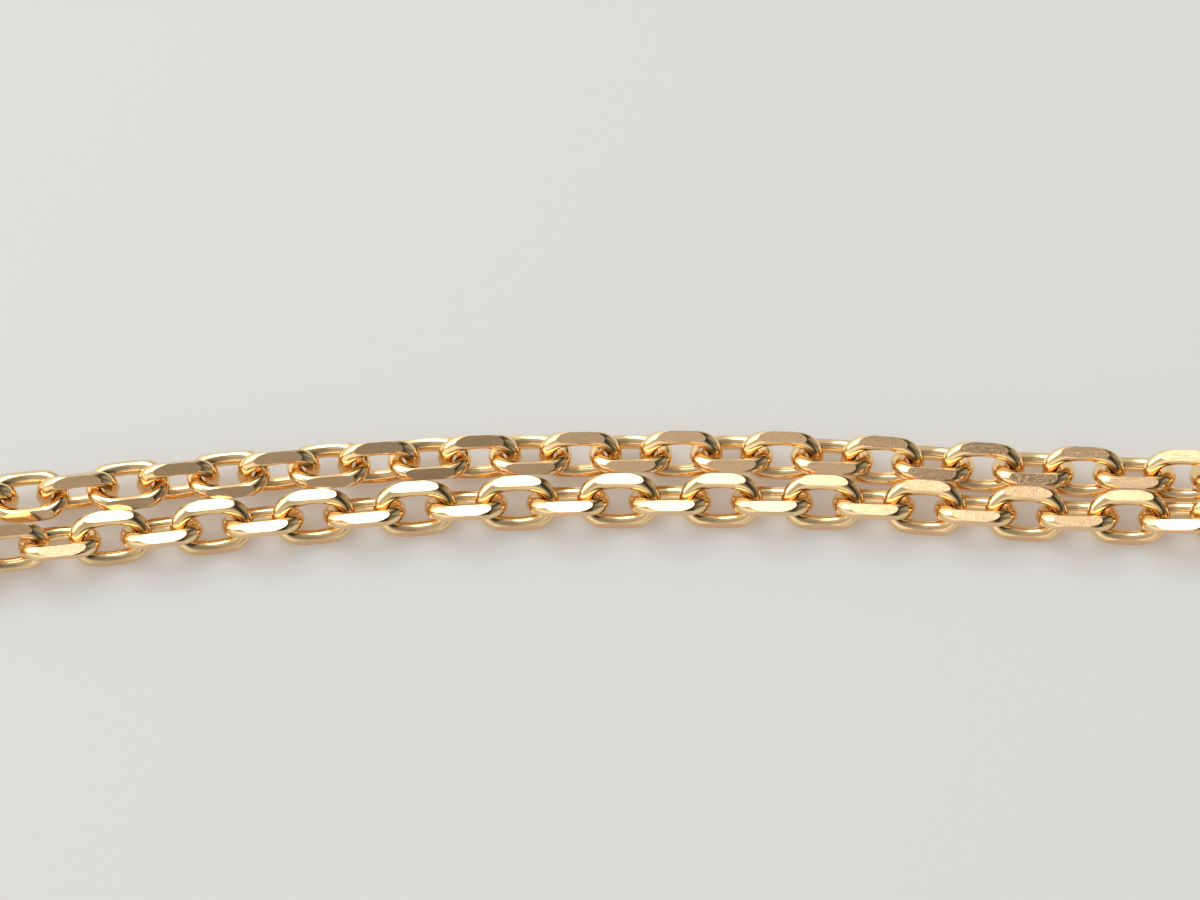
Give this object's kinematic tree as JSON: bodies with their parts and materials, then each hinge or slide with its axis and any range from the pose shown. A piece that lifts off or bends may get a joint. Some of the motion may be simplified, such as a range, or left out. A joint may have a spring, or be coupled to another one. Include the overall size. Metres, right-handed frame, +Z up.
{
  "type": "pocket watch chain",
  "caption": "Fine diamond-cut cable chain laid doubled, with a T-bar on one end and a swivel clasp with a sprung gate on the other.",
  "frame": {"origin": "middle of the part's box, on the surface it lies on", "axes": "+X along the chain from the fold towards the fittings, +Y from the front run to the back run, +Z up"},
  "size_m": [0.0624, 0.0188, 0.0024],
  "materials": {
    "link": "diamond-cut yellow gold, mirror flats",
    "t_bar": "polished yellow gold",
    "oval_ring": "polished yellow gold",
    "swivel_bow": "polished yellow gold",
    "hook": "polished yellow gold",
    "spring": "bright spring wire"
  },
  "bodies": {
    "t_bar": {"t_bar": "t_bar"},
    "oval_ring": {"oval_ring": "oval_ring"},
    "link_01": {"link_01": "link"},
    "link_02": {"link_02": "link"},
    "link_03": {"link_03": "link"},
    "link_04": {"link_04": "link"},
    "link_05": {"link_05": "link"},
    "link_06": {"link_06": "link"},
    "link_07": {"link_07": "link"},
    "link_08": {"link_08": "link"},
    "link_09": {"link_09": "link"},
    "link_10": {"link_10": "link"},
    "link_11": {"link_11": "link"},
    "link_12": {"link_12": "link"},
    "link_13": {"link_13": "link"},
    "link_14": {"link_14": "link"},
    "link_15": {"link_15": "link"},
    "link_16": {"link_16": "link"},
    "link_17": {"link_17": "link"},
    "link_18": {"link_18": "link"},
    "link_19": {"link_19": "link"},
    "link_20": {"link_20": "link"},
    "link_21": {"link_21": "link"},
    "link_22": {"link_22": "link"},
    "link_23": {"link_23": "link"},
    "link_24": {"link_24": "link"},
    "link_25": {"link_25": "link"},
    "link_26": {"link_26": "link"},
    "link_27": {"link_27": "link"},
    "link_28": {"link_28": "link"},
    "link_29": {"link_29": "link"},
    "link_30": {"link_30": "link"},
    "link_31": {"link_31": "link"},
    "link_32": {"link_32": "link"},
    "link_33": {"link_33": "link"},
    "link_34": {"link_34": "link"},
    "link_35": {"link_35": "link"},
    "link_36": {"link_36": "link"},
    "link_37": {"link_37": "link"},
    "link_38": {"link_38": "link"},
    "link_39": {"link_39": "link"},
    "link_40": {"link_40": "link"},
    "link_41": {"link_41": "link"},
    "link_42": {"link_42": "link"},
    "link_43": {"link_43": "link"},
    "link_44": {"link_44": "link"},
    "link_45": {"link_45": "link"},
    "link_46": {"link_46": "link"},
    "link_47": {"link_47": "link"},
    "link_48": {"link_48": "link"},
    "link_49": {"link_49": "link"},
    "link_50": {"link_50": "link"},
    "link_51": {"link_51": "link"},
    "link_52": {"link_52": "link"},
    "link_53": {"link_53": "link"},
    "swivel_bow": {"swivel_bow": "swivel_bow"},
    "hook": {"hook_body": "hook", "gate_pin": "hook", "gate_spring": "spring"},
    "gate": {"gate": "hook"}
  },
  "joints": [
    {"name": "ring_on_t_bar", "type": "hinge", "parent": "t_bar", "child": "oval_ring", "pos_m": [0.02382, -0.00304, 0.00116], "axis": [0, 0, 1], "range_deg": [0, 45]},
    {"name": "chain_on_ring", "type": "hinge", "parent": "oval_ring", "child": "link_01", "pos_m": [0.02173, 0.00144, 0.00116], "axis": [0.9063, 0.4226, 0], "range_deg": [-10, 15]},
    {"name": "bend_02", "type": "hinge", "parent": "link_01", "child": "link_02", "pos_m": [0.01979, 0.00092, 0.00103], "axis": [0.0483, 0.9988, 0], "range_deg": [-30, 30]},
    {"name": "bend_03", "type": "hinge", "parent": "link_02", "child": "link_03", "pos_m": [0.01782, 0.00102, 0.00088], "axis": [-0.0372, -0.9993, 0], "range_deg": [-30, 30]},
    {"name": "bend_04", "type": "hinge", "parent": "link_03", "child": "link_04", "pos_m": [0.01586, 0.00109, 0.00083], "axis": [0.0462, 0.9989, 0], "range_deg": [-30, 30]},
    {"name": "bend_05", "type": "hinge", "parent": "link_04", "child": "link_05", "pos_m": [0.01389, 0.00118, 0.00083], "axis": [-0.0687, -0.9976, 0], "range_deg": [-30, 30]},
    {"name": "bend_06", "type": "hinge", "parent": "link_05", "child": "link_06", "pos_m": [0.01192, 0.00131, 0.00083], "axis": [0.078, 0.997, 0], "range_deg": [-30, 30]},
    {"name": "bend_07", "type": "hinge", "parent": "link_06", "child": "link_07", "pos_m": [0.00996, 0.00147, 0.00083], "axis": [-0.0808, -0.9967, 0], "range_deg": [-30, 30]},
    {"name": "bend_08", "type": "hinge", "parent": "link_07", "child": "link_08", "pos_m": [0.008, 0.00163, 0.00083], "axis": [0.0649, 0.9979, 0], "range_deg": [-30, 30]},
    {"name": "bend_09", "type": "hinge", "parent": "link_08", "child": "link_09", "pos_m": [0.00603, 0.00176, 0.00083], "axis": [-0.0406, -0.9992, 0], "range_deg": [-30, 30]},
    {"name": "bend_10", "type": "hinge", "parent": "link_09", "child": "link_10", "pos_m": [0.00406, 0.00184, 0.00083], "axis": [0.0242, 0.9997, 0], "range_deg": [-30, 30]},
    {"name": "bend_11", "type": "hinge", "parent": "link_10", "child": "link_11", "pos_m": [0.00209, 0.00188, 0.00083], "axis": [-0.0123, -0.9999, 0], "range_deg": [-30, 30]},
    {"name": "bend_12", "type": "hinge", "parent": "link_11", "child": "link_12", "pos_m": [0.00012, 0.00191, 0.00083], "axis": [0.0038, 1, 0], "range_deg": [-30, 30]},
    {"name": "bend_13", "type": "hinge", "parent": "link_12", "child": "link_13", "pos_m": [-0.00185, 0.00191, 0.00083], "axis": [0.0031, -1, 0], "range_deg": [-30, 30]},
    {"name": "bend_14", "type": "hinge", "parent": "link_13", "child": "link_14", "pos_m": [-0.00382, 0.00191, 0.00083], "axis": [-0.0173, 0.9999, 0], "range_deg": [-30, 30]},
    {"name": "bend_15", "type": "hinge", "parent": "link_14", "child": "link_15", "pos_m": [-0.00579, 0.00187, 0.00083], "axis": [0.0359, -0.9994, 0], "range_deg": [-30, 30]},
    {"name": "bend_16", "type": "hinge", "parent": "link_15", "child": "link_16", "pos_m": [-0.00776, 0.0018, 0.00083], "axis": [-0.053, 0.9986, 0], "range_deg": [-30, 30]},
    {"name": "bend_17", "type": "hinge", "parent": "link_16", "child": "link_17", "pos_m": [-0.00972, 0.0017, 0.00083], "axis": [0.0709, -0.9975, 0], "range_deg": [-30, 30]},
    {"name": "bend_18", "type": "hinge", "parent": "link_17", "child": "link_18", "pos_m": [-0.01169, 0.00156, 0.00083], "axis": [-0.0824, 0.9966, 0], "range_deg": [-30, 30]},
    {"name": "bend_19", "type": "hinge", "parent": "link_18", "child": "link_19", "pos_m": [-0.01365, 0.0014, 0.00083], "axis": [0.0908, -0.9959, 0], "range_deg": [-30, 30]},
    {"name": "bend_20", "type": "hinge", "parent": "link_19", "child": "link_20", "pos_m": [-0.01561, 0.00122, 0.00083], "axis": [-0.1024, 0.9947, 0], "range_deg": [-30, 30]},
    {"name": "bend_21", "type": "hinge", "parent": "link_20", "child": "link_21", "pos_m": [-0.01757, 0.00102, 0.00083], "axis": [0.1161, -0.9932, 0], "range_deg": [-30, 30]},
    {"name": "bend_22", "type": "hinge", "parent": "link_21", "child": "link_22", "pos_m": [-0.01953, 0.00079, 0.00083], "axis": [-0.1223, 0.9925, 0], "range_deg": [-30, 30]},
    {"name": "bend_23", "type": "hinge", "parent": "link_22", "child": "link_23", "pos_m": [-0.02149, 0.00055, 0.00084], "axis": [0.1246, -0.9922, 0], "range_deg": [-30, 30]},
    {"name": "bend_24", "type": "hinge", "parent": "link_23", "child": "link_24", "pos_m": [-0.02344, 0.0003, 0.0009], "axis": [-0.1277, 0.9918, 0], "range_deg": [-30, 30]},
    {"name": "bend_25", "type": "hinge", "parent": "link_24", "child": "link_25", "pos_m": [-0.02539, 0.00005, 0.00102], "axis": [0.1329, -0.9911, 0], "range_deg": [-30, 30]},
    {"name": "bend_26", "type": "hinge", "parent": "link_25", "child": "link_26", "pos_m": [-0.02734, -0.00021, 0.00111], "axis": [-0.1701, 0.9854, 0], "range_deg": [-30, 30]},
    {"name": "fold_out", "type": "hinge", "parent": "link_26", "child": "link_27", "pos_m": [-0.02895, -0.00049, 0.00113], "axis": [0, 0, 1], "range_deg": [0, 40]},
    {"name": "fold_back", "type": "hinge", "parent": "link_27", "child": "link_28", "pos_m": [-0.03023, 0.00182, 0.00113], "axis": [0, 0, 1], "range_deg": [0, 60]},
    {"name": "bend_29", "type": "hinge", "parent": "link_28", "child": "link_29", "pos_m": [-0.0286, 0.00183, 0.00113], "axis": [-0.0896, 0.996, 0], "range_deg": [-30, 30]},
    {"name": "bend_30", "type": "hinge", "parent": "link_29", "child": "link_30", "pos_m": [-0.02665, 0.002, 0.00113], "axis": [0.1071, -0.9942, 0], "range_deg": [-30, 30]},
    {"name": "bend_31", "type": "hinge", "parent": "link_30", "child": "link_31", "pos_m": [-0.02471, 0.00221, 0.00113], "axis": [-0.1172, 0.9931, 0], "range_deg": [-30, 30]},
    {"name": "bend_32", "type": "hinge", "parent": "link_31", "child": "link_32", "pos_m": [-0.02278, 0.00244, 0.00113], "axis": [0.1221, -0.9925, 0], "range_deg": [-30, 30]},
    {"name": "bend_33", "type": "hinge", "parent": "link_32", "child": "link_33", "pos_m": [-0.02084, 0.00268, 0.00112], "axis": [-0.1104, 0.9939, 0], "range_deg": [-30, 30]},
    {"name": "bend_34", "type": "hinge", "parent": "link_33", "child": "link_34", "pos_m": [-0.0189, 0.00289, 0.00112], "axis": [0.1031, -0.9947, 0], "range_deg": [-30, 30]},
    {"name": "bend_35", "type": "hinge", "parent": "link_34", "child": "link_35", "pos_m": [-0.01697, 0.0031, 0.00111], "axis": [-0.0944, 0.9955, 0], "range_deg": [-30, 30]},
    {"name": "bend_36", "type": "hinge", "parent": "link_35", "child": "link_36", "pos_m": [-0.01502, 0.00328, 0.0011], "axis": [0.0892, -0.996, 0], "range_deg": [-30, 30]},
    {"name": "bend_37", "type": "hinge", "parent": "link_36", "child": "link_37", "pos_m": [-0.01308, 0.00345, 0.00109], "axis": [-0.0709, 0.9975, 0], "range_deg": [-30, 30]},
    {"name": "bend_38", "type": "hinge", "parent": "link_37", "child": "link_38", "pos_m": [-0.01114, 0.00359, 0.00108], "axis": [0.0597, -0.9982, 0], "range_deg": [-30, 30]},
    {"name": "bend_39", "type": "hinge", "parent": "link_38", "child": "link_39", "pos_m": [-0.00919, 0.00371, 0.00107], "axis": [-0.0349, 0.9994, 0], "range_deg": [-30, 30]},
    {"name": "bend_40", "type": "hinge", "parent": "link_39", "child": "link_40", "pos_m": [-0.00724, 0.00378, 0.00106], "axis": [0.0191, -0.9998, 0], "range_deg": [-30, 30]},
    {"name": "bend_41", "type": "hinge", "parent": "link_40", "child": "link_41", "pos_m": [-0.00529, 0.00381, 0.00104], "axis": [-0.0086, 1, 0], "range_deg": [-30, 30]},
    {"name": "bend_42", "type": "hinge", "parent": "link_41", "child": "link_42", "pos_m": [-0.00334, 0.00383, 0.00102], "axis": [0.0023, -1, 0], "range_deg": [-30, 30]},
    {"name": "bend_43", "type": "hinge", "parent": "link_42", "child": "link_43", "pos_m": [-0.00139, 0.00383, 0.00102], "axis": [0.0068, 1, 0], "range_deg": [-30, 30]},
    {"name": "bend_44", "type": "hinge", "parent": "link_43", "child": "link_44", "pos_m": [0.00056, 0.00382, 0.00101], "axis": [-0.0132, -0.9999, 0], "range_deg": [-30, 30]},
    {"name": "bend_45", "type": "hinge", "parent": "link_44", "child": "link_45", "pos_m": [0.00251, 0.0038, 0.001], "axis": [0.0422, 0.9991, 0], "range_deg": [-30, 30]},
    {"name": "bend_46", "type": "hinge", "parent": "link_45", "child": "link_46", "pos_m": [0.00446, 0.00371, 0.00099], "axis": [-0.0648, -0.9979, 0], "range_deg": [-30, 30]},
    {"name": "bend_47", "type": "hinge", "parent": "link_46", "child": "link_47", "pos_m": [0.0064, 0.00359, 0.00098], "axis": [0.0794, 0.9968, 0], "range_deg": [-30, 30]},
    {"name": "bend_48", "type": "hinge", "parent": "link_47", "child": "link_48", "pos_m": [0.00835, 0.00343, 0.00097], "axis": [-0.0879, -0.9961, 0], "range_deg": [-30, 30]},
    {"name": "bend_49", "type": "hinge", "parent": "link_48", "child": "link_49", "pos_m": [0.01029, 0.00326, 0.00096], "axis": [0.0669, 0.9978, 0], "range_deg": [-30, 30]},
    {"name": "bend_50", "type": "hinge", "parent": "link_49", "child": "link_50", "pos_m": [0.01223, 0.00313, 0.00095], "axis": [-0.0495, -0.9988, 0], "range_deg": [-30, 30]},
    {"name": "bend_51", "type": "hinge", "parent": "link_50", "child": "link_51", "pos_m": [0.01418, 0.00303, 0.00094], "axis": [0.0579, 0.9983, 0], "range_deg": [-30, 30]},
    {"name": "bend_52", "type": "hinge", "parent": "link_51", "child": "link_52", "pos_m": [0.01613, 0.00292, 0.00093], "axis": [-0.0648, -0.9979, 0], "range_deg": [-30, 30]},
    {"name": "bend_53", "type": "hinge", "parent": "link_52", "child": "link_53", "pos_m": [0.01807, 0.00279, 0.00098], "axis": [0.0676, 0.9977, 0], "range_deg": [-30, 30]},
    {"name": "clasp_bend", "type": "hinge", "parent": "link_53", "child": "swivel_bow", "pos_m": [0.02002, 0.00266, 0.0011], "axis": [-0.342, 0.9397, 0], "range_deg": [-20, 20]},
    {"name": "swivel_turn", "type": "hinge", "parent": "swivel_bow", "child": "hook", "pos_m": [0.02245, 0.00355, 0.0011], "axis": [0.9397, 0.342, 0], "continuous": true},
    {"name": "gate_open", "type": "hinge", "parent": "hook", "child": "gate", "pos_m": [0.02486, 0.00597, 0.0011], "axis": [0, 0, -1], "range_deg": [0, 35], "stiffness_Nm_per_rad": 0.00002, "springref_deg": -11.46}
  ]
}
